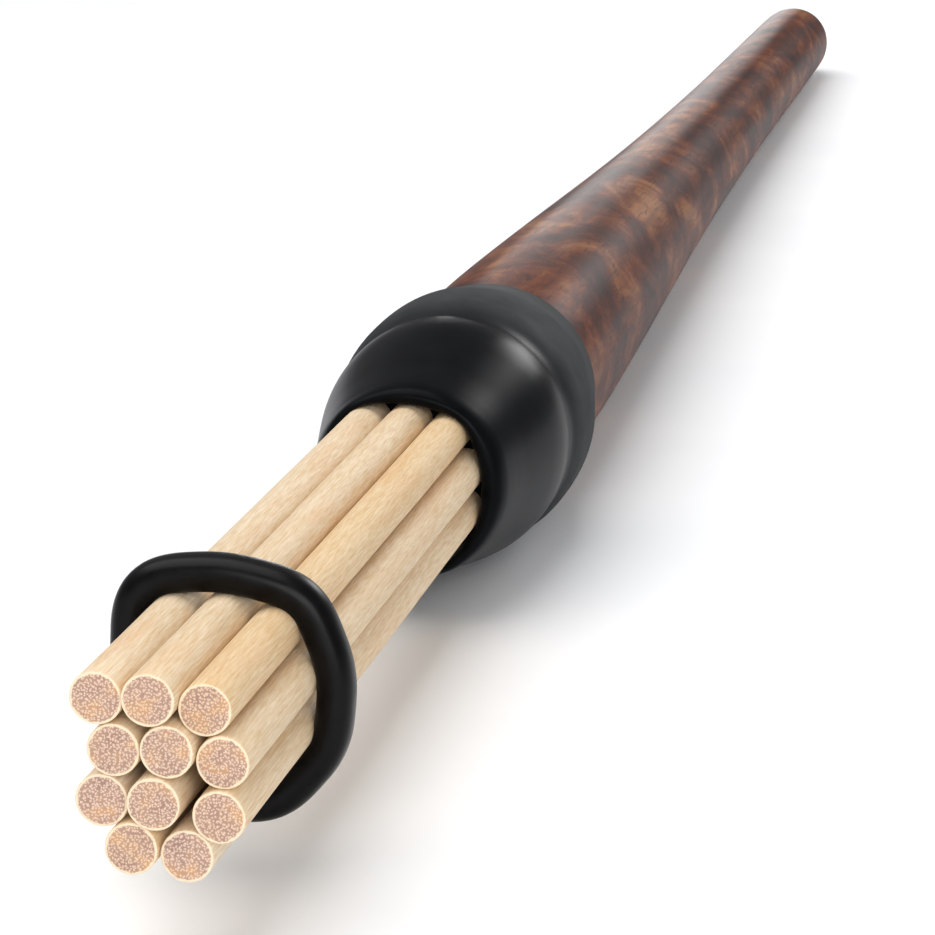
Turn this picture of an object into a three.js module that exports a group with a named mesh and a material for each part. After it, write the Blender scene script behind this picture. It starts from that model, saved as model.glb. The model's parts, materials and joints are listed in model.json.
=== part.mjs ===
// Bundled-rod drumstick: round bamboo dowels held in a turned wooden handle by a rubber collar,
// with a rubber ring that slides along the dowels to make the bundle looser or tighter.
// Millimetres. The rod is drawn along +X from the dowel tips, then laid down on z = 0.
import * as THREE from 'three';

const TOTAL_LENGTH = 406;
const CLEARANCE = 0.3; // between pieces that touch in the real rod

const DOWEL_RADIUS = 1.55;
const DOWEL_REAR = 121.7;
const DOWEL_EDGE = 0.15; // sanded edge at each end
// Dowel centres across the rod as [y, z, setback of the tip], row by row from the top.
const DOWEL_ROWS = [
  [[3.5, 4.4, 0.4], [0.2, 4.6, 0], [-3.05, 3.9, 0.9]],
  [[2.5, 1.25, 0.5], [-0.85, 1.4, 0.2], [-4.15, 0.75, 0.7]],
  [[3.3, -2, 0.6], [-0.05, -1.85, 0], [-3.95, -2.55, 0.4]],
  [[1.45, -4.8, 0.3], [-1.9, -5.15, 0.6]],
];

const RING_CENTRE = 19;
const RING_WIDTH = 3; // along the rod
const RING_THICKNESS = 2.5; // outward from the bundle
const RING_ROUNDING = 0.9;

const COLLAR_FRONT = 74.5;
const COLLAR_REAR = 113;
const COLLAR_LIP_RADIUS = 8;
const COLLAR_SHOULDER_RADIUS = 10.35;
const COLLAR_GROOVE_RADIUS = 10.15;
const COLLAR_BAND_RADIUS = 10.9;
const COLLAR_BAND_REAR = 103; // rear end of the widest part, which the rod rests on

const SLEEVE_FRONT = 86;
const SLEEVE_WALL = 0.5;

const HANDLE_FRONT = 95;
const HANDLE_HEAD_RADIUS = 9.3;
const SPIGOT_RADIUS = 9; // the stepped front of the handle that the collar grips
const SOCKET_RADIUS = 7.45;
const SOCKET_DEPTH = 30;
const BOND_THICKNESS = 2.5;
const TAIL_RADIUS = 5.8;
const TAIL_START = 397; // where the butt begins to round off
const BUTT_FLAT_RADIUS = 1.6;

const TURNED_SIDES = 32;
const DOWEL_SIDES = 16;

const bamboo = () => new THREE.MeshStandardMaterial({ color: 0xe6c795, roughness: 0.62, metalness: 0 });
const hardwood = () => new THREE.MeshStandardMaterial({ color: 0x5a2f20, roughness: 0.35, metalness: 0 });
const rubber = () => new THREE.MeshStandardMaterial({ color: 0x17181a, roughness: 0.45, metalness: 0 });
const shrinkFilm = () => new THREE.MeshStandardMaterial({ color: 0x101112, roughness: 0.6, metalness: 0 });
const glue = () => new THREE.MeshStandardMaterial({ color: 0xc9a35c, roughness: 0.4, metalness: 0 });

const rod = new THREE.Group();

function addMesh(name, geometry, material) {
  const mesh = new THREE.Mesh(geometry, material);
  mesh.name = name;
  rod.add(mesh);
  return mesh;
}

// A solid of revolution about the rod's axis from [x, radius] points, with a flat facing down.
function turned(points, sides = TURNED_SIDES) {
  const profile = points.map(([x, radius]) => new THREE.Vector2(radius, x));
  return new THREE.LatheGeometry(profile, sides, Math.PI / sides).rotateZ(-Math.PI / 2);
}

// Points on an elliptical quarter turn from the side of a turned end to its face.
function roundedEnd(x, radius, length, height, steps = 5) {
  const points = [];
  for (let i = 1; i <= steps; i++) {
    const angle = (i / steps) * (Math.PI / 2);
    points.push([x + length * Math.sin(angle), radius - height * (1 - Math.cos(angle))]);
  }
  return points;
}

// The dowel centres that a band stretched around the bundle bends over, counterclockwise.
function outermost(centres) {
  const turn = (a, b, c) => (b.x - a.x) * (c.y - a.y) - (b.y - a.y) * (c.x - a.x);
  const chain = (points) => {
    const kept = [];
    for (const point of points) {
      while (kept.length > 1 && turn(kept.at(-2), kept.at(-1), point) <= 0) kept.pop();
      kept.push(point);
    }
    return kept.slice(0, -1);
  };
  const sorted = [...centres].sort((a, b) => a.x - b.x);
  return [...chain(sorted), ...chain(sorted.reverse())];
}

// Draws the closed outline at one distance around the outermost centres.
function drawAround(path, corners, distance) {
  const outwardOf = (a, b) => Math.atan2(b.y - a.y, b.x - a.x) - Math.PI / 2;
  corners.forEach((corner, i) => {
    const next = corners[(i + 1) % corners.length];
    path.absarc(corner.x, corner.y, distance, outwardOf(corners.at(i - 1), corner), outwardOf(corner, next));
  });
  return path.closePath();
}

// A band around the bundle whose section is between two distances, starting at x.
function bundleBand(corners, inner, outer, x, options) {
  const shape = drawAround(new THREE.Shape(), corners, outer);
  shape.holes.push(drawAround(new THREE.Path(), corners, inner));
  const acrossRod = new THREE.Matrix4().makeBasis(
    new THREE.Vector3(0, 1, 0),
    new THREE.Vector3(0, 0, 1),
    new THREE.Vector3(1, 0, 0),
  );
  return new THREE.ExtrudeGeometry(shape, options).applyMatrix4(acrossRod).translate(x, 0, 0);
}

function addDowels() {
  DOWEL_ROWS.flat().forEach(([y, z, setback], i) => {
    const geometry = turned([
      [setback, 0],
      [setback, DOWEL_RADIUS - DOWEL_EDGE],
      [setback + DOWEL_EDGE, DOWEL_RADIUS],
      [DOWEL_REAR - DOWEL_EDGE, DOWEL_RADIUS],
      [DOWEL_REAR, DOWEL_RADIUS - DOWEL_EDGE],
      [DOWEL_REAR, 0],
    ], DOWEL_SIDES);
    const name = `dowel_${String(i + 1).padStart(2, '0')}`;
    addMesh(name, geometry, bamboo()).position.set(0, y, z);
  });
}

function addRing(corners) {
  const roundingAlong = RING_WIDTH * 0.37;
  const depth = RING_WIDTH - 2 * roundingAlong;
  const inner = DOWEL_RADIUS + CLEARANCE + RING_ROUNDING;
  const outer = inner + RING_THICKNESS - 2 * RING_ROUNDING;
  addMesh('tuning_ring', bundleBand(corners, inner, outer, RING_CENTRE - depth / 2, {
    depth,
    curveSegments: 3,
    bevelThickness: roundingAlong,
    bevelSize: RING_ROUNDING,
    bevelSegments: 3,
  }), rubber());
}

function addSleeve(corners) {
  const inner = DOWEL_RADIUS + CLEARANCE;
  addMesh('binding_sleeve', bundleBand(corners, inner, inner + SLEEVE_WALL, SLEEVE_FRONT, {
    depth: HANDLE_FRONT - CLEARANCE - SLEEVE_FRONT,
    curveSegments: 3,
    bevelEnabled: false,
  }), shrinkFilm());
}

function addCollar() {
  const cavityRadius = SOCKET_RADIUS + CLEARANCE + SLEEVE_WALL;
  const gripRadius = SPIGOT_RADIUS + CLEARANCE;
  const rearRadius = gripRadius + 0.35;
  const flare = new THREE.SplineCurve([
    new THREE.Vector2(COLLAR_FRONT + 1, COLLAR_LIP_RADIUS),
    new THREE.Vector2(80, 8.45),
    new THREE.Vector2(84, 9.35),
    new THREE.Vector2(87, 10),
    new THREE.Vector2(89.5, COLLAR_SHOULDER_RADIUS),
    new THREE.Vector2(91.5, 10.35),
    new THREE.Vector2(93, COLLAR_GROOVE_RADIUS),
    new THREE.Vector2(94.5, 10.5),
    new THREE.Vector2(96.5, COLLAR_BAND_RADIUS - 0.2),
  ]);
  addMesh('collar', turned([
    [COLLAR_FRONT, SOCKET_RADIUS],
    [COLLAR_FRONT, COLLAR_LIP_RADIUS - 0.35],
    [COLLAR_FRONT + 0.35, COLLAR_LIP_RADIUS - 0.1],
    ...flare.getPoints(18).map(({ x, y }) => [x, y]),
    [COLLAR_BAND_REAR, COLLAR_BAND_RADIUS],
    [COLLAR_BAND_REAR + 2, COLLAR_BAND_RADIUS - 0.2],
    [COLLAR_REAR - 0.5, rearRadius + 0.15],
    [COLLAR_REAR, rearRadius],
    [COLLAR_REAR, gripRadius],
    [HANDLE_FRONT - CLEARANCE, gripRadius],
    [HANDLE_FRONT - CLEARANCE, cavityRadius],
    [SLEEVE_FRONT - CLEARANCE, cavityRadius],
    [SLEEVE_FRONT - CLEARANCE, SOCKET_RADIUS],
    [COLLAR_FRONT, SOCKET_RADIUS],
  ]), rubber());
}

function addHandle() {
  const socketFloor = HANDLE_FRONT + SOCKET_DEPTH;
  const spigotRear = COLLAR_REAR + CLEARANCE;
  const taper = new THREE.SplineCurve([
    new THREE.Vector2(spigotRear, HANDLE_HEAD_RADIUS),
    new THREE.Vector2(136, 9.15),
    new THREE.Vector2(161, 8.6),
    new THREE.Vector2(211, 7.35),
    new THREE.Vector2(251, 6.65),
    new THREE.Vector2(299, 6.15),
    new THREE.Vector2(358, 5.95),
    new THREE.Vector2(TAIL_START, TAIL_RADIUS),
  ]);
  const buttLength = TOTAL_LENGTH - TAIL_START;
  addMesh('handle', turned([
    [socketFloor, 0],
    [socketFloor, SOCKET_RADIUS],
    [HANDLE_FRONT, SOCKET_RADIUS],
    [HANDLE_FRONT, SPIGOT_RADIUS],
    [spigotRear, SPIGOT_RADIUS],
    ...taper.getPoints(21).map(({ x, y }) => [x, y]),
    ...roundedEnd(TAIL_START, TAIL_RADIUS, buttLength, TAIL_RADIUS - BUTT_FLAT_RADIUS),
    [TOTAL_LENGTH, 0],
  ]), hardwood());
  const bondFront = DOWEL_REAR + CLEARANCE;
  const bondRadius = SOCKET_RADIUS - CLEARANCE;
  addMesh('bond_disc', turned([
    [bondFront, 0],
    [bondFront, bondRadius],
    [bondFront + BOND_THICKNESS, bondRadius],
    [bondFront + BOND_THICKNESS, 0],
  ]), glue());
}

// Tilts the rod until its collar band and its butt both touch the surface, then centres it.
function layDown() {
  rod.rotation.y = Math.atan2(COLLAR_BAND_RADIUS - TAIL_RADIUS, TAIL_START - COLLAR_BAND_REAR);
  const box = new THREE.Box3().setFromObject(rod, true);
  const middle = box.getCenter(new THREE.Vector3());
  rod.position.set(-middle.x, -middle.y, -box.min.z);
}

const corners = outermost(DOWEL_ROWS.flat().map(([y, z]) => new THREE.Vector2(y, z)));
addDowels();
addRing(corners);
addSleeve(corners);
addCollar();
addHandle();
layDown();

export default rod;
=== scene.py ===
import json
import math
import random

import bpy
from mathutils import Matrix, Vector, noise


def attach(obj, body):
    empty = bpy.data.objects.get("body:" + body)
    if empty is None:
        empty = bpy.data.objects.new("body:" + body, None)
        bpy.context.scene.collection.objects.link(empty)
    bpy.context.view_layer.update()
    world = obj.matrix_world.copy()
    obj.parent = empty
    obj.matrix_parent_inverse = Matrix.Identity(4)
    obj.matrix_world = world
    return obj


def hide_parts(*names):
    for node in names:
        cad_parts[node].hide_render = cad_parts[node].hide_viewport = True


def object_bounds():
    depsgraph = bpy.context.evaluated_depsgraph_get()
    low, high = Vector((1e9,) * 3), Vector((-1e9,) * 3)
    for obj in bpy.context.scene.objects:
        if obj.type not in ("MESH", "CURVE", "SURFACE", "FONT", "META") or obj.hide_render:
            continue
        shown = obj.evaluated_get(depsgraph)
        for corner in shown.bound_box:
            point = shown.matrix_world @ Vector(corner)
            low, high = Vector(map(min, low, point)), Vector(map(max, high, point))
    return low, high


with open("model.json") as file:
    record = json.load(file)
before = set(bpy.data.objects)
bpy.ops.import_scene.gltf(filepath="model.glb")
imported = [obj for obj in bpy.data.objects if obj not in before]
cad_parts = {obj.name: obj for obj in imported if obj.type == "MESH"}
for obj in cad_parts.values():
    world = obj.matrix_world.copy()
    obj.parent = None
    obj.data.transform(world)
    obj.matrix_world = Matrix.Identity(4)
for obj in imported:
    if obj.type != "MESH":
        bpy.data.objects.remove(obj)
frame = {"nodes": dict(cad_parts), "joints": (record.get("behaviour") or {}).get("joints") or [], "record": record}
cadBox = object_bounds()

mm = 0.001
perMm = 1000  # object coordinates are in metres, so this makes a scale of 1 mean once per millimetre
touching = 0.002 * mm  # points closer than this are one point
seed = 11
chance = random.Random(seed)
noise.seed_set(seed)  # without it the noise vectors differ from run to run

# The stick's own directions. Each piece is modelled straight, with x from the tips to the butt, y across
# and z up, and is then laid down along the slightly tilted axis that the ring slides on.
mountAt = {mount["name"]: Vector(mount["pos_m"]) for mount in frame["record"]["mounts"]}
along = Vector(frame["joints"][0]["axis"]).normalized()
across = Vector((0, 1, 0))
upward = along.cross(across)
stickLength = (mountAt["butt_face"] - mountAt["tip_face"]).dot(along)
stickStart = mountAt["butt_face"] - along * stickLength
layDown = Matrix.Translation(stickStart) @ Matrix((along, across, upward)).transposed().to_4x4()


def cadReach(node):  # lowest and highest corner of a CAD node, measured along the stick's own directions
    standUp = layDown.inverted()
    points = [standUp @ vertex.co for vertex in frame["nodes"][node].data.vertices]
    low = Vector([min(point[i] for point in points) for i in range(3)])
    high = Vector([max(point[i] for point in points) for i in range(3)])
    return low, high


def pickEdges(piece, wanted):  # goes to edit mode with only the wanted edges selected
    bpy.ops.object.mode_set(mode="EDIT")
    bpy.ops.mesh.select_mode(type="EDGE")
    bpy.ops.mesh.select_all(action="DESELECT")
    bpy.ops.object.mode_set(mode="OBJECT")
    for edge in piece.data.edges:
        edge.select = wanted(edge)
    bpy.ops.object.mode_set(mode="EDIT")


def closeSurface():  # merges the seam and the poles, and turns the faces outwards
    bpy.ops.mesh.select_all(action="SELECT")
    bpy.ops.mesh.remove_doubles(threshold=touching)
    bpy.ops.mesh.normals_make_consistent(inside=False)
    bpy.ops.object.mode_set(mode="OBJECT")


def layPiece(piece, name, body, materials, node):  # lays a piece down and puts it on its body
    piece.name = name
    piece.data.name = name
    piece.matrix_world = layDown @ piece.matrix_world
    bpy.ops.object.select_all(action="DESELECT")
    piece.select_set(True)
    bpy.context.view_layer.objects.active = piece
    bpy.ops.object.transform_apply(location=True, rotation=True, scale=True)
    for material in materials:
        piece.data.materials.append(material)
    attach(piece, body)
    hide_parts(node)
    print("made", name)


def smoothLine(points, steps):  # a smooth line through the points, with so many steps from each to the next
    points = [Vector(point) for point in points]
    line = []
    for i in range(len(points) - 1):
        start, end = points[i], points[i + 1]
        before = points[i - 1] if i > 0 else start
        after = points[i + 2] if i + 2 < len(points) else end
        span = (end - start).length
        leave = (end - before) * span / (span + (start - before).length)
        arrive = (after - start) * span / (span + (after - end).length)
        for step in range(steps):
            t = step / steps  # from 0 at the start to 1 at the end
            line.append(start * (2 * t**3 - 3 * t**2 + 1) + leave * (t**3 - 2 * t**2 + t)
                        + end * (3 * t**2 - 2 * t**3) + arrive * (t**3 - t**2))
    return line + [points[-1]]


lathe = {
    "sides": 128,
    "smoothAngle": 40,  # degrees, and sharper edges stay sharp
}


def turnOnLathe(outline):  # a closed outline of (along, radius) spun around the stick's axis
    bpy.ops.object.select_all(action="DESELECT")
    bpy.ops.mesh.primitive_circle_add(vertices=len(outline), radius=1, fill_type="NOTHING")
    piece = bpy.context.object
    for vertex, (x, radius) in zip(piece.data.vertices, outline):
        vertex.co = (x, 0, max(radius, 0))
    pickEdges(piece, lambda edge: all(piece.data.vertices[i].co.z < touching for i in edge.vertices))
    bpy.ops.mesh.delete(type="EDGE")
    bpy.ops.mesh.select_mode(type="VERT")
    bpy.ops.mesh.select_all(action="SELECT")
    bpy.ops.mesh.spin(steps=lathe["sides"], angle=2 * math.pi, center=(0, 0, 0), axis=(1, 0, 0))
    closeSurface()
    bpy.ops.object.shade_smooth_by_angle(angle=math.radians(lathe["smoothAngle"]))
    return piece


def linear(hexColour):  # an sRGB hex colour as the linear colour that a shader takes
    shares = [int(hexColour[i:i + 2], 16) / 255 for i in (0, 2, 4)]
    return tuple(p / 12.92 if p <= 0.04045 else ((p + 0.055) / 1.055)**2.4 for p in shares) + (1,)


def addNode(material, kind, inputs=None, stops=None, **settings):  # stops: place, then hex colour or grey
    node = material.node_tree.nodes.new("ShaderNode" + kind)
    for name, value in settings.items():
        setattr(node, name, value)
    for name, value in (inputs or {}).items():
        if isinstance(value, bpy.types.NodeSocket):
            material.node_tree.links.new(value, node.inputs[name])
        else:
            node.inputs[name].default_value = value
    for i, (place, tone) in enumerate(stops or []):
        stop = node.color_ramp.elements[i] if i < 2 else node.color_ramp.elements.new(place)
        stop.position = place
        stop.color = linear(tone) if isinstance(tone, str) else (tone, tone, tone, 1)
    return node


def newMaterial(name):
    material = bpy.data.materials.new(name)
    material.use_nodes = True
    material.node_tree.nodes.clear()
    return material


def finishMaterial(material, shader):
    addNode(material, "OutputMaterial", {"Surface": shader.outputs["BSDF"]})
    return material


def stickCoordinates(material, scale):  # Object coordinates turned in line with the stick, then scaled
    place = addNode(material, "TexCoord").outputs["Object"]
    turn = [-angle for angle in layDown.to_euler()]
    turned = addNode(material, "Mapping", {"Vector": place, "Rotation": turn}).outputs["Vector"]
    return addNode(material, "Mapping", {"Vector": turned, "Scale": scale}).outputs["Vector"]


def bambooSideMaterial():
    # Sanded, unvarnished moso bamboo, pulled through a die into round dowel: pale straw with short light
    # fibre flecks about 0.15 mm wide and 2 to 4 mm long, and soft tan patches where the culm was older.
    material = newMaterial("mosoBambooSide")
    fibre = addNode(material, "Attribute", attribute_name="fibre").outputs["Vector"]
    tone = addNode(material, "Attribute", attribute_name="tone").outputs["Fac"]
    fleckPlace = addNode(material, "Mapping", {"Vector": fibre, "Scale": (7, 7, 0.45)}).outputs["Vector"]
    flecks = addNode(material, "TexNoise", {"Vector": fleckPlace, "Scale": 1, "Detail": 3,
                                            "Roughness": 0.6})
    fleckTone = addNode(material, "ValToRGB", {"Fac": flecks.outputs["Fac"]},
                        stops=[(0.34, "D4BC9C"), (0.45, "DCC9AE"), (0.56, "E1D2BC"), (0.66, "E8DCCA")])
    patchPlace = addNode(material, "Mapping", {"Vector": fibre, "Scale": (0.5, 0.5, 0.06)})
    patches = addNode(material, "TexNoise", {"Vector": patchPlace.outputs["Vector"], "Scale": 1,
                                             "Detail": 2})
    patchAmount = addNode(material, "ValToRGB", {"Fac": patches.outputs["Fac"]},
                          stops=[(0.5, 0.0), (0.72, 0.35)])
    patched = addNode(material, "MixRGB", {"Fac": patchAmount.outputs["Color"],
                                           "Color1": fleckTone.outputs["Color"],
                                           "Color2": linear("D8AD80")})
    toned = addNode(material, "MixRGB", {"Fac": tone, "Color1": patched.outputs["Color"],
                                         "Color2": linear("F8E8CC")}, blend_type="MULTIPLY")
    linePlace = addNode(material, "Mapping", {"Vector": fibre, "Scale": (9, 9, 0.15)}).outputs["Vector"]
    lines = addNode(material, "TexNoise", {"Vector": linePlace, "Scale": 1, "Detail": 2})
    bump = addNode(material, "Bump", {"Height": lines.outputs["Fac"], "Strength": 0.35,
                                      "Distance": 0.05 * mm})
    fuzz = addNode(material, "Bump", {"Height": flecks.outputs["Fac"], "Strength": 0.3,
                                      "Distance": 0.06 * mm, "Normal": bump.outputs["Normal"]})
    rough = addNode(material, "MapRange", {"Value": lines.outputs["Fac"], "To Min": 0.5, "To Max": 0.72})
    return finishMaterial(material, addNode(material, "BsdfPrincipled", {
        "Base Color": toned.outputs["Color"], "Roughness": rough.outputs["Result"], "IOR": 1.5,
        "Specular IOR Level": 0.35, "Normal": fuzz.outputs["Normal"]}))


def bambooEndMaterial():
    # The same bamboo sawn across: pale fibre bundles about 0.12 mm wide, 0.2 mm apart, in darker pinkish
    # tissue, inside a cream rim where the die has closed the skin.
    material = newMaterial("mosoBambooEndGrain")
    fibre = addNode(material, "Attribute", attribute_name="fibre").outputs["Vector"]
    tone = addNode(material, "Attribute", attribute_name="tone").outputs["Fac"]
    rim = addNode(material, "Attribute", attribute_name="rim").outputs["Fac"]
    wobble = addNode(material, "TexNoise", {"Vector": fibre, "Scale": 3.5, "Detail": 1}).outputs["Color"]
    uneven = addNode(material, "MixRGB", {"Fac": 0.12, "Color1": fibre, "Color2": wobble},
                     blend_type="LINEAR_LIGHT")
    bundles = addNode(material, "TexVoronoi", {"Vector": uneven.outputs["Color"], "Scale": 5.6,
                                               "Randomness": 0.9}, voronoi_dimensions="2D")
    dots = addNode(material, "ValToRGB", {"Fac": bundles.outputs["Distance"]},
                   stops=[(0.12, 1.0), (0.5, 0.0)])
    tissuePlace = addNode(material, "Mapping", {"Vector": fibre, "Scale": (0.6, 0.6, 0.1)})
    tissue = addNode(material, "TexNoise", {"Vector": tissuePlace.outputs["Vector"], "Scale": 1,
                                            "Detail": 3})
    tissueTone = addNode(material, "ValToRGB", {"Fac": tissue.outputs["Fac"]},
                         stops=[(0.3, "947569"), (0.5, "A28373"), (0.68, "BA8F68")])
    dotTone = addNode(material, "MixRGB", {"Fac": tone, "Color1": linear("D6BDAD"),
                                           "Color2": linear("D8BA9C")})
    speckled = addNode(material, "MixRGB", {"Fac": dots.outputs["Color"],
                                            "Color1": tissueTone.outputs["Color"],
                                            "Color2": dotTone.outputs["Color"]})
    raggedness = addNode(material, "TexNoise", {"Vector": fibre, "Scale": 2.2, "Detail": 2})
    raggedRim = addNode(material, "Math", {0: raggedness.outputs["Fac"], 1: 0.16, 2: rim},
                        operation="MULTIPLY_ADD")
    rimAmount = addNode(material, "ValToRGB", {"Fac": raggedRim.outputs["Value"]},
                        stops=[(0.96, 0.0), (1.04, 1.0)])
    rimmed = addNode(material, "MixRGB", {"Fac": rimAmount.outputs["Color"],
                                          "Color1": speckled.outputs["Color"],
                                          "Color2": linear("DFCCB0")})
    bump = addNode(material, "Bump", {"Height": dots.outputs["Color"], "Strength": 0.5,
                                      "Distance": 0.04 * mm})
    return finishMaterial(material, addNode(material, "BsdfPrincipled", {
        "Base Color": rimmed.outputs["Color"], "Roughness": 0.75, "IOR": 1.5, "Specular IOR Level": 0.25,
        "Normal": bump.outputs["Normal"]}))


def ringRubberMaterial():
    # Compression moulded EPDM rubber: near black and smooth, with a soft oily sheen and a skin that is
    # slightly uneven at about 1 mm.
    material = newMaterial("mouldedEpdmRubber")
    place = stickCoordinates(material, (perMm, perMm, perMm))
    skin = addNode(material, "TexNoise", {"Vector": place, "Scale": 0.9, "Detail": 3})
    grain = addNode(material, "TexNoise", {"Vector": place, "Scale": 9, "Detail": 2})
    tone = addNode(material, "ValToRGB", {"Fac": skin.outputs["Fac"]},
                   stops=[(0.3, "040404"), (0.7, "08080A")])
    rough = addNode(material, "MapRange", {"Value": skin.outputs["Fac"], "To Min": 0.27, "To Max": 0.42})
    bump = addNode(material, "Bump", {"Height": grain.outputs["Fac"], "Strength": 0.12,
                                      "Distance": 0.02 * mm})
    return finishMaterial(material, addNode(material, "BsdfPrincipled", {
        "Base Color": tone.outputs["Color"], "Roughness": rough.outputs["Result"], "IOR": 1.52,
        "Specular IOR Level": 0.12, "Normal": bump.outputs["Normal"]}))


def collarRubberMaterial(bandStart, bandFade):
    # Injection moulded nitrile rubber: the flared front came off a polished mould and has a soft shine, and
    # the band behind the groove has a fine eroded finish and is matte; its lighter grey is partly that finish and
    # partly painted sheen.
    material = newMaterial("mouldedNitrileRubber")
    place = stickCoordinates(material, (perMm, perMm, perMm))
    x = addNode(material, "SeparateXYZ", {"Vector": place}).outputs["X"]
    origin = layDown.inverted() @ Vector((0, 0, 0))  # the place of x = 0, measured from the tips
    fadeStart, fadeEnd = ((bandStart - origin.x) * perMm + distance for distance in bandFade)
    band = addNode(material, "MapRange", {"Value": x, "From Min": fadeStart, "From Max": fadeEnd})
    cloud = addNode(material, "TexNoise", {"Vector": place, "Scale": 0.35, "Detail": 3})
    grain = addNode(material, "TexNoise", {"Vector": place, "Scale": 7, "Detail": 3})
    frontTone = addNode(material, "ValToRGB", {"Fac": cloud.outputs["Fac"]},
                        stops=[(0.3, "07080A"), (0.7, "0D0F11")])
    # painted sheen: the band's lighter grey stands in for the soft sheen that matte rubber picks up from its
    # surroundings
    bandGreyWithPaintedSheen = addNode(material, "ValToRGB", {"Fac": cloud.outputs["Fac"]},
                       stops=[(0.3, "363839"), (0.7, "404243")])
    tone = addNode(material, "MixRGB", {"Fac": band.outputs["Result"],
                                        "Color1": frontTone.outputs["Color"],
                                        "Color2": bandGreyWithPaintedSheen.outputs["Color"]})
    rough = addNode(material, "MapRange", {"Value": band.outputs["Result"], "To Min": 0.29, "To Max": 0.65})
    grainHeight = addNode(material, "Math", {0: grain.outputs["Fac"], 1: band.outputs["Result"]},
                          operation="MULTIPLY")
    bump = addNode(material, "Bump", {"Height": grainHeight.outputs["Value"], "Strength": 0.4,
                                      "Distance": 0.03 * mm})
    return finishMaterial(material, addNode(material, "BsdfPrincipled", {
        "Base Color": tone.outputs["Color"], "Roughness": rough.outputs["Result"], "IOR": 1.52,
        "Specular IOR Level": 0.03, "Normal": bump.outputs["Normal"]}))


def handleWoodMaterial():
    # Beech turned on a lathe, stained reddish brown and clear lacquered: the stain has taken in cloudy
    # patches 5 to 15 mm long over straight grain, with dark pores 0.2 mm wide under a soft gloss.
    material = newMaterial("stainedLacqueredBeech")
    cloudPlace = stickCoordinates(material, (0.075 * perMm, 0.17 * perMm, 0.17 * perMm))
    clouds = addNode(material, "TexNoise", {"Vector": cloudPlace, "Scale": 1, "Detail": 4,
                                            "Roughness": 0.62, "Distortion": 0.5})
    cloudTone = addNode(material, "ValToRGB", {"Fac": clouds.outputs["Fac"]},
                        stops=[(0.34, "301309"), (0.46, "502210"), (0.56, "713A1E"), (0.67, "936038")])
    grainPlace = stickCoordinates(material, (0.02 * perMm, 1.1 * perMm, 1.1 * perMm))
    grain = addNode(material, "TexNoise", {"Vector": grainPlace, "Scale": 1, "Detail": 5, "Roughness": 0.6})
    grainTone = addNode(material, "ValToRGB", {"Fac": grain.outputs["Fac"]},
                        stops=[(0.3, "9C867C"), (0.65, "FFFFFF")])
    grained = addNode(material, "MixRGB", {"Fac": 0.75, "Color1": cloudTone.outputs["Color"],
                                           "Color2": grainTone.outputs["Color"]}, blend_type="MULTIPLY")
    porePlace = stickCoordinates(material, (0.28 * perMm, 4.5 * perMm, 4.5 * perMm))
    pores = addNode(material, "TexNoise", {"Vector": porePlace, "Scale": 1, "Detail": 1})
    poreAmount = addNode(material, "ValToRGB", {"Fac": pores.outputs["Fac"]},
                         stops=[(0.32, 0.5), (0.39, 0.0)])
    pored = addNode(material, "MixRGB", {"Fac": poreAmount.outputs["Color"],
                                         "Color1": grained.outputs["Color"],
                                         "Color2": linear("20100B")})
    rough = addNode(material, "MapRange", {"Value": grain.outputs["Fac"], "To Min": 0.34, "To Max": 0.5})
    bump = addNode(material, "Bump", {"Height": poreAmount.outputs["Color"], "Strength": 0.2,
                                      "Distance": 0.05 * mm}, invert=True)
    return finishMaterial(material, addNode(material, "BsdfPrincipled", {
        "Base Color": pored.outputs["Color"], "Roughness": rough.outputs["Result"], "IOR": 1.5,
        "Specular IOR Level": 0.03, "Coat Weight": 0.05, "Coat Roughness": 0.26, "Coat IOR": 1.5,
        "Normal": bump.outputs["Normal"]}))


def shrinkFilmMaterial():
    # Heat-shrunk polyolefin film: matte black, with faint creases about 2 mm apart from shrinking.
    material = newMaterial("shrunkPolyolefin")
    place = stickCoordinates(material, (perMm, perMm, perMm))
    creases = addNode(material, "TexNoise", {"Vector": place, "Scale": 0.5, "Detail": 2})
    tone = addNode(material, "ValToRGB", {"Fac": creases.outputs["Fac"]},
                   stops=[(0.3, "0E0E0F"), (0.7, "191A1B")])
    bump = addNode(material, "Bump", {"Height": creases.outputs["Fac"], "Strength": 0.4,
                                      "Distance": 0.1 * mm})
    return finishMaterial(material, addNode(material, "BsdfPrincipled", {
        "Base Color": tone.outputs["Color"], "Roughness": 0.55, "IOR": 1.49,
        "Normal": bump.outputs["Normal"]}))


def curedGlueMaterial():
    # Cured two-part epoxy: clear amber and glossy, clouded by fine trapped air.
    material = newMaterial("curedEpoxy")
    place = stickCoordinates(material, (perMm, perMm, perMm))
    air = addNode(material, "TexNoise", {"Vector": place, "Scale": 1.6, "Detail": 4})
    tone = addNode(material, "ValToRGB", {"Fac": air.outputs["Fac"]},
                   stops=[(0.35, "9C7434"), (0.7, "D9B673")])
    rough = addNode(material, "MapRange", {"Value": air.outputs["Fac"], "To Min": 0.12, "To Max": 0.3})
    return finishMaterial(material, addNode(material, "BsdfPrincipled", {
        "Base Color": tone.outputs["Color"], "Roughness": rough.outputs["Result"], "IOR": 1.55}))


def floorMaterial():
    # Matte white laminate: even and pale, so it only shows soft shadows.
    material = newMaterial("whiteLaminate")
    place = addNode(material, "TexCoord").outputs["Object"]
    fine = addNode(material, "TexNoise", {"Vector": place, "Scale": 40, "Detail": 2})
    tone = addNode(material, "ValToRGB", {"Fac": fine.outputs["Fac"]},
                   stops=[(0.3, "F4F5F7"), (0.7, "F7F8F9")])
    return finishMaterial(material, addNode(material, "BsdfPrincipled", {
        "Base Color": tone.outputs["Color"], "Roughness": 0.8, "Specular IOR Level": 0.2}))


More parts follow.
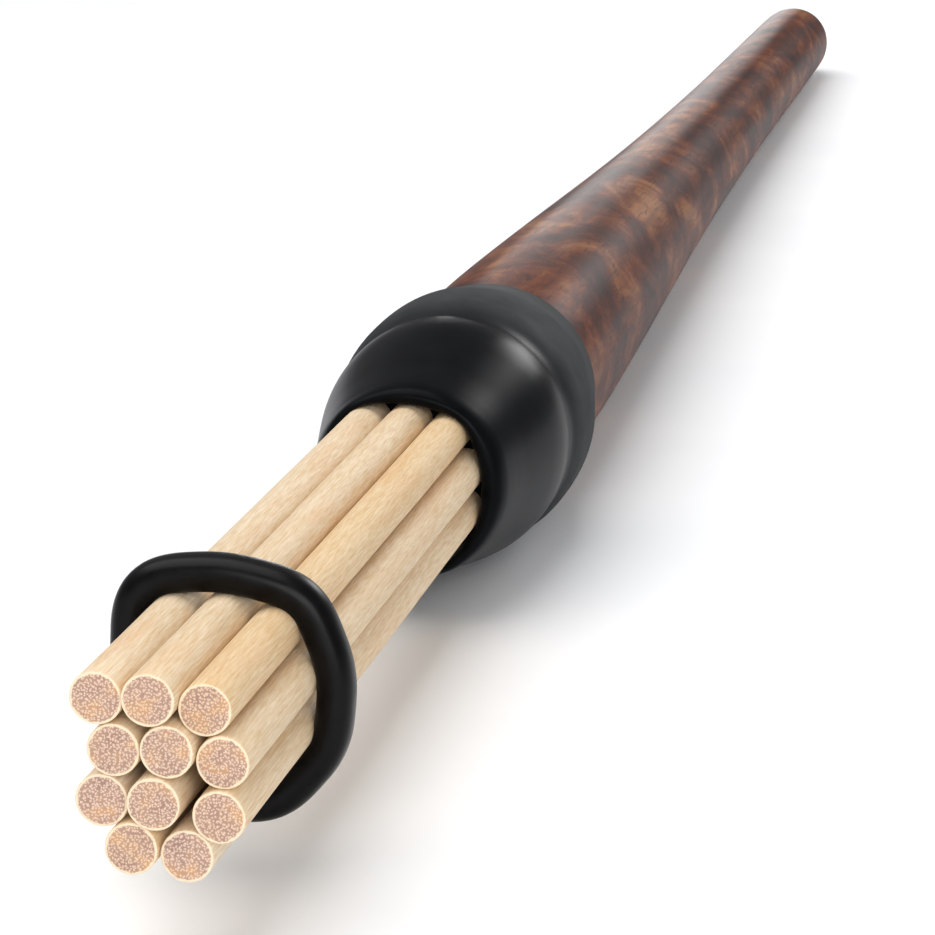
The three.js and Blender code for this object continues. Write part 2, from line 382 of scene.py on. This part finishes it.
dowel = {
    "radius": 1.64 * mm,  # so that neighbours all but touch
    "sides": 48,
    "sawnEdge": 0.08 * mm,
    "lengthCuts": 30,
    "smoothAngle": 35,  # degrees
    "wander": 0.05 * mm,  # how far a dowel strays from straight
    "bendsPerMetre": 25,
    "unevenness": 0.02 * mm,
    "dentsPerMetre": (120, 500, 500),  # along, across and up
    "patternShift": 37,  # keeps each dowel's fibres and bends unlike the next one's
}
dowelNodes = sorted(node for node in frame["nodes"] if node.startswith("dowel"))


def makeDowel(length):
    bpy.ops.object.select_all(action="DESELECT")
    bpy.ops.mesh.primitive_cylinder_add(vertices=dowel["sides"], radius=dowel["radius"], depth=length,
                                        end_fill_type="TRIFAN", location=(length / 2, 0, 0),
                                        rotation=(0, math.pi / 2, 0))
    bpy.ops.object.transform_apply(location=True, rotation=True, scale=True)
    piece = bpy.context.object
    at = piece.data.vertices

    def isEndEdge(edge):
        first, second = (at[i].co for i in edge.vertices)
        onSkin = min(first.yz.length, second.yz.length) > dowel["radius"] / 2
        return abs(first.x - second.x) < touching and onSkin

    def isLongEdge(edge):
        first, second = (at[i].co for i in edge.vertices)
        return abs(first.x - second.x) > length / 2

    pickEdges(piece, isEndEdge)
    bpy.ops.mesh.bevel(offset=dowel["sawnEdge"], segments=3, affect="EDGES")
    pickEdges(piece, isLongEdge)
    bpy.ops.mesh.subdivide(number_cuts=dowel["lengthCuts"])
    bpy.ops.object.mode_set(mode="OBJECT")
    bpy.ops.object.shade_smooth_by_angle(angle=math.radians(dowel["smoothAngle"]))
    return piece


def varyDowel(piece, number, tip, length):  # gives one dowel its own place, length, bends and fibres
    mesh = piece.data
    for name, kind in (("fibre", "FLOAT_VECTOR"), ("rim", "FLOAT"), ("tone", "FLOAT")):
        mesh.attributes.new(name, kind, "POINT")
    fibre, rim, tone = (mesh.attributes[name] for name in ("fibre", "rim", "tone"))
    shift = dowel["patternShift"] * number
    denseAlong, denseAcross, denseUp = dowel["dentsPerMetre"]
    shade = chance.random()
    longest = max(vertex.co.x for vertex in mesh.vertices)
    for vertex in mesh.vertices:
        x, y, z = vertex.co
        if x > longest / 2:  # the far half moves to this dowel's own rear end
            x = x - longest + length
        fibre.data[vertex.index].vector = (y / mm + shift, z / mm - shift, x / mm)
        rim.data[vertex.index].value = vertex.co.yz.length / dowel["radius"]
        tone.data[vertex.index].value = shade
        stray = noise.noise_vector(Vector((x * dowel["bendsPerMetre"], shift, 0))) * dowel["wander"]
        dent = noise.noise(Vector((x * denseAlong, y * denseAcross, z * denseUp + shift)))
        swell = 1 + dent * dowel["unevenness"] / dowel["radius"]
        vertex.co = (tip.x + x, tip.y + y * swell + stray.y, tip.z + z * swell + stray.z)
    for face in mesh.polygons:
        face.material_index = 1 if abs(face.normal.x) > 0.9 else 0  # the sawn ends take the end grain


print("turning the dowels")
bamboo = [bambooSideMaterial(), bambooEndMaterial()]
firstDowel = makeDowel(max(cadReach(node)[1].x - cadReach(node)[0].x for node in dowelNodes))
dowelCentres = []
for number, node in enumerate(dowelNodes):
    low, high = cadReach(node)
    tip = Vector((low.x, (low.y + high.y) / 2, (low.z + high.z) / 2))
    dowelCentres.append((tip.y, tip.z))
    piece = firstDowel.copy()
    piece.data = firstDowel.data.copy()
    bpy.context.collection.objects.link(piece)
    varyDowel(piece, number, tip, high.x - low.x)
    layPiece(piece, "bambooDowel%02d" % (number + 1), "stick", bamboo, node)
bpy.data.objects.remove(firstDowel)

ring = {
    "thickness": 2.5 * mm,  # outward from the bundle
    "width": 3.1 * mm,  # along the stick
    "gap": 0.03 * mm,  # to the dowels, before the easing and the squash press it onto them
    "stiffness": 12,  # degrees to each side over which the rubber eases around a dowel
    "takeUp": 0.5,  # easing cuts the corners, so the ring moves out by this share of the deepest cut
    "flatness": 2.4,  # 2 is a round section, more is squarer
    "sag": (0.25 * mm, 0),  # how far it sits off centre, across and up
    "squash": 0.97,  # its height as a share of what the bundle alone would give
    "stepsAround": 180,
    "stepsInSection": 36,
}


def bandDistance(degrees):  # from the axis to the inside of a thin band stretched around the dowels
    reaches = []
    for lean in range(-80, 81, 2):  # the band lies on the nearest straight line that clears every dowel
        facing = math.radians(degrees + lean)
        furthest = max(y * math.cos(facing) + z * math.sin(facing) for y, z in dowelCentres)
        reaches.append((furthest + (dowel["radius"] + ring["gap"])) / math.cos(math.radians(lean)))
    return min(reaches)


ease = ring["stiffness"]
tight = [bandDistance(degrees) for degrees in range(360)]
eased = [sum(tight[(i + k) % 360] for k in range(-ease, ease + 1)) / (2 * ease + 1) for i in range(360)]
slack = max(sharp - soft for sharp, soft in zip(tight, eased)) * ring["takeUp"]


def bundleReach(degrees):  # from the axis to the inside of rubber that hugs the bundle
    i = math.floor(degrees)
    here, following = eased[i % 360], eased[(i + 1) % 360]
    return here + (following - here) * (degrees - i) + slack


def makeRing():
    steps = ring["stepsAround"]
    middle = sum(eased) / 360
    bpy.ops.object.select_all(action="DESELECT")
    bpy.ops.mesh.primitive_torus_add(major_segments=steps, minor_segments=ring["stepsInSection"],
                                     major_radius=middle, minor_radius=mm, rotation=(0, math.pi / 2, 0))
    bpy.ops.object.transform_apply(location=True, rotation=True, scale=True)
    piece = bpy.context.object  # a round section of 1 mm, given its real shape and place below
    low, high = cadReach("tuning_ring")
    centre = (low.x + high.x) / 2

    def corePoint(angle):
        distance = bundleReach(math.degrees(angle)) + ring["thickness"] / 2
        sideways, up = math.cos(angle) * distance, math.sin(angle) * distance
        return Vector((0, sideways + ring["sag"][0], up * ring["squash"] + ring["sag"][1]))

    def squared(value):
        return math.copysign(abs(value)**(2 / ring["flatness"]), value)

    for vertex in piece.data.vertices:
        x, y, z = vertex.co
        angle = math.atan2(z, y)
        around = corePoint(angle + 0.01) - corePoint(angle - 0.01)  # the way the ring runs here
        outward = Vector((0, around.z, -around.y)).normalized()
        outShare = squared((vertex.co.yz.length - middle) / mm)
        alongShare = squared(x / mm)
        place = corePoint(angle) + outward * outShare * ring["thickness"] / 2
        vertex.co = (centre + alongShare * ring["width"] / 2, place.y, place.z)
    bpy.ops.object.shade_smooth()
    return piece


print("moulding the ring")
layPiece(makeRing(), "tuningRingRubber", "ring", [ringRubberMaterial()], "tuning_ring")

# The collar's and the handle's outlines are points of (along, radius) in mm, measured from the tips.
collar = {
    "front": [(76.2, 6.35), (75.3, 6.42), (74.8, 6.7), (74.62, 7.1), (74.9, 7.55), (75.7, 7.87), (77, 8.12),
              (78.7, 8.4), (80.7, 8.74), (83.5, 9.26), (86, 9.72), (88, 10.05), (90, 10.27), (92, 10.32),
              (93.5, 10.22), (94.8, 10.3), (96, 10.6), (97.2, 10.82), (98.5, 10.9)],
    "band": [(98.5, 10.9), (101.5, 10.92), (103.6, 10.83), (105.6, 10.55), (108.5, 10.1), (111, 9.72),
             (112.4, 9.52), (112.85, 9.36)],
    # the inside outline includes a thin web across the mouth, 78.4 to 80 mm from the tips and down to 4.6 mm
    # radius, seen only between the dowels: a dark sheet that stands in for the shade inside the mouth
    "inside": [(112.85, 9.06), (94.7, 9.06), (94.7, 8.2), (85.7, 8.2), (85.7, 7.36), (80, 7.36), (80, 4.6),
               (78.4, 4.6), (78.4, 6.35)],
    "frontSteps": 4,  # from each point to the next
    "bandSteps": 3,
    "mouthRear": 81 * mm,
    "mouthRadius": 6.35 * mm,  # before the lip is fitted to the bundle
    "widestMouth": 7.35 * mm,
    "lipRadius": 8 * mm,  # where the fitting ends
    "bandStart": 94 * mm,
    "bandFade": (-1, 4),  # mm from bandStart over which the polish gives way to the matte finish and the painted sheen grey
}


def makeCollar():
    outline = (smoothLine(collar["front"], collar["frontSteps"])
               + smoothLine(collar["band"], collar["bandSteps"])[1:] + collar["inside"])
    piece = turnOnLathe([(x * mm, radius * mm) for x, radius in outline])
    mouth, lip = collar["mouthRadius"], collar["lipRadius"]
    for vertex in piece.data.vertices:
        x, y, z = vertex.co
        radius = vertex.co.yz.length
        if x < collar["mouthRear"] and mouth - touching < radius < lip:
            fitted = min(bundleReach(math.degrees(math.atan2(z, y))), collar["widestMouth"])
            stretch = (lip - fitted) / (lip - mouth)
            newRadius = lip - (lip - radius) * stretch
            vertex.co = (x, y * newRadius / radius, z * newRadius / radius)
    return piece


print("moulding the collar")
collarRubber = collarRubberMaterial(collar["bandStart"], collar["bandFade"])
layPiece(makeCollar(), "collarRubber", "stick", [collarRubber], "collar")

handle = {
    "socket": [(125, 0), (125, 7.45), (95, 7.45)],
    "spigot": [(95, 9), (113.1, 9)],
    "taper": [(113.1, 9.3), (124, 9.3), (136, 9.15), (161, 8.6), (211, 7.35), (251, 6.65), (299, 6.15),
              (358, 5.95), (392, 5.83)],
    "butt": [(392, 5.83), (397, 5.72), (400.5, 5.25), (403.5, 4.2), (405.3, 2.7), (405.95, 1.5)],
    "buttFace": [(406, 1.2), (406, 0)],
    "taperSteps": 8,
    "buttSteps": 5,
}


def makeHandle():
    outline = (handle["socket"] + handle["spigot"] + smoothLine(handle["taper"], handle["taperSteps"])
               + smoothLine(handle["butt"], handle["buttSteps"])[1:] + handle["buttFace"])
    return turnOnLathe([(x * mm, radius * mm) for x, radius in outline])


print("turning the handle")
layPiece(makeHandle(), "handleWood", "stick", [handleWoodMaterial()], "handle")

# hidden pieces keep their CAD shape
for node, makeMaterial in (("binding_sleeve", shrinkFilmMaterial), ("bond_disc", curedGlueMaterial)):
    frame["nodes"][node].data.materials.clear()
    frame["nodes"][node].data.materials.append(makeMaterial())
    print("finished", node)

studio = {
    "floorSize": 12,  # in metres
    "skyStrength": 0.25,
    "camera": (-190.5, -54.5, 65.3),  # along, across and up from the middle of the tips, in mm
    "aim": (80, -3.99, 0.37),
    "lens": 134.8,
    "sensorWidth": 36,
    "clipStart": 0.01,  # in metres, as the camera is close
}
# Lamps are placed and aimed in mm, as the camera is. Their sizes are in metres and their power in watts.
lamps = [
    {"name": "mainSoftbox", "at": (60, 290, 900), "aim": (120, 0, 0), "size": (1.1, 1.1), "power": 10.4},
    {"name": "frontSoftbox", "at": (-570, -200, 235), "aim": (60, 0, 0), "size": (0.6, 0.36), "power": 3.9},
    {"name": "farLeftStrip", "at": (1780, 225, 95), "aim": (300, 0, 0), "size": (0.26, 0.24), "power": 1.4},
    {"name": "farRightSoftbox", "at": (620, -160, 180), "aim": (90, 0, 0), "size": (0.14, 0.12),
     "power": 0.45},
]


def stickPoint(place):
    return layDown @ (Vector(place) * mm)


def makeFloor():
    bpy.ops.object.select_all(action="DESELECT")
    bpy.ops.mesh.primitive_plane_add(size=studio["floorSize"], location=(0, 0, cadBox[0].z))
    floor = bpy.context.object
    floor.name = "studioFloor"
    floor.data.materials.append(floorMaterial())


def aimAt(piece, target):
    piece.rotation_euler = (target - piece.location).to_track_quat("-Z", "Y").to_euler()


def makeLamp(lamp):
    bpy.ops.object.light_add(type="AREA", location=stickPoint(lamp["at"]))
    light = bpy.context.object
    light.name = lamp["name"]
    light.data.shape = "RECTANGLE"
    light.data.size, light.data.size_y = lamp["size"]
    light.data.energy = lamp["power"]
    aimAt(light, stickPoint(lamp["aim"]))


def makeCamera():
    bpy.ops.object.camera_add(location=stickPoint(studio["camera"]))
    camera = bpy.context.object
    camera.data.lens = studio["lens"]
    camera.data.sensor_width = studio["sensorWidth"]
    camera.data.clip_start = studio["clipStart"]
    aimAt(camera, stickPoint(studio["aim"]))
    bpy.context.scene.camera = camera


def makeSky():
    world = bpy.data.worlds.new("studioSky")
    bpy.context.scene.world = world
    world.use_nodes = True
    background = world.node_tree.nodes["Background"]
    background.inputs["Color"].default_value = linear("FFFFFF")
    background.inputs["Strength"].default_value = studio["skyStrength"]


print("setting up the studio")
makeFloor()
makeSky()
for lamp in lamps:
    makeLamp(lamp)
makeCamera()
bpy.context.scene.view_settings.view_transform = "Standard"
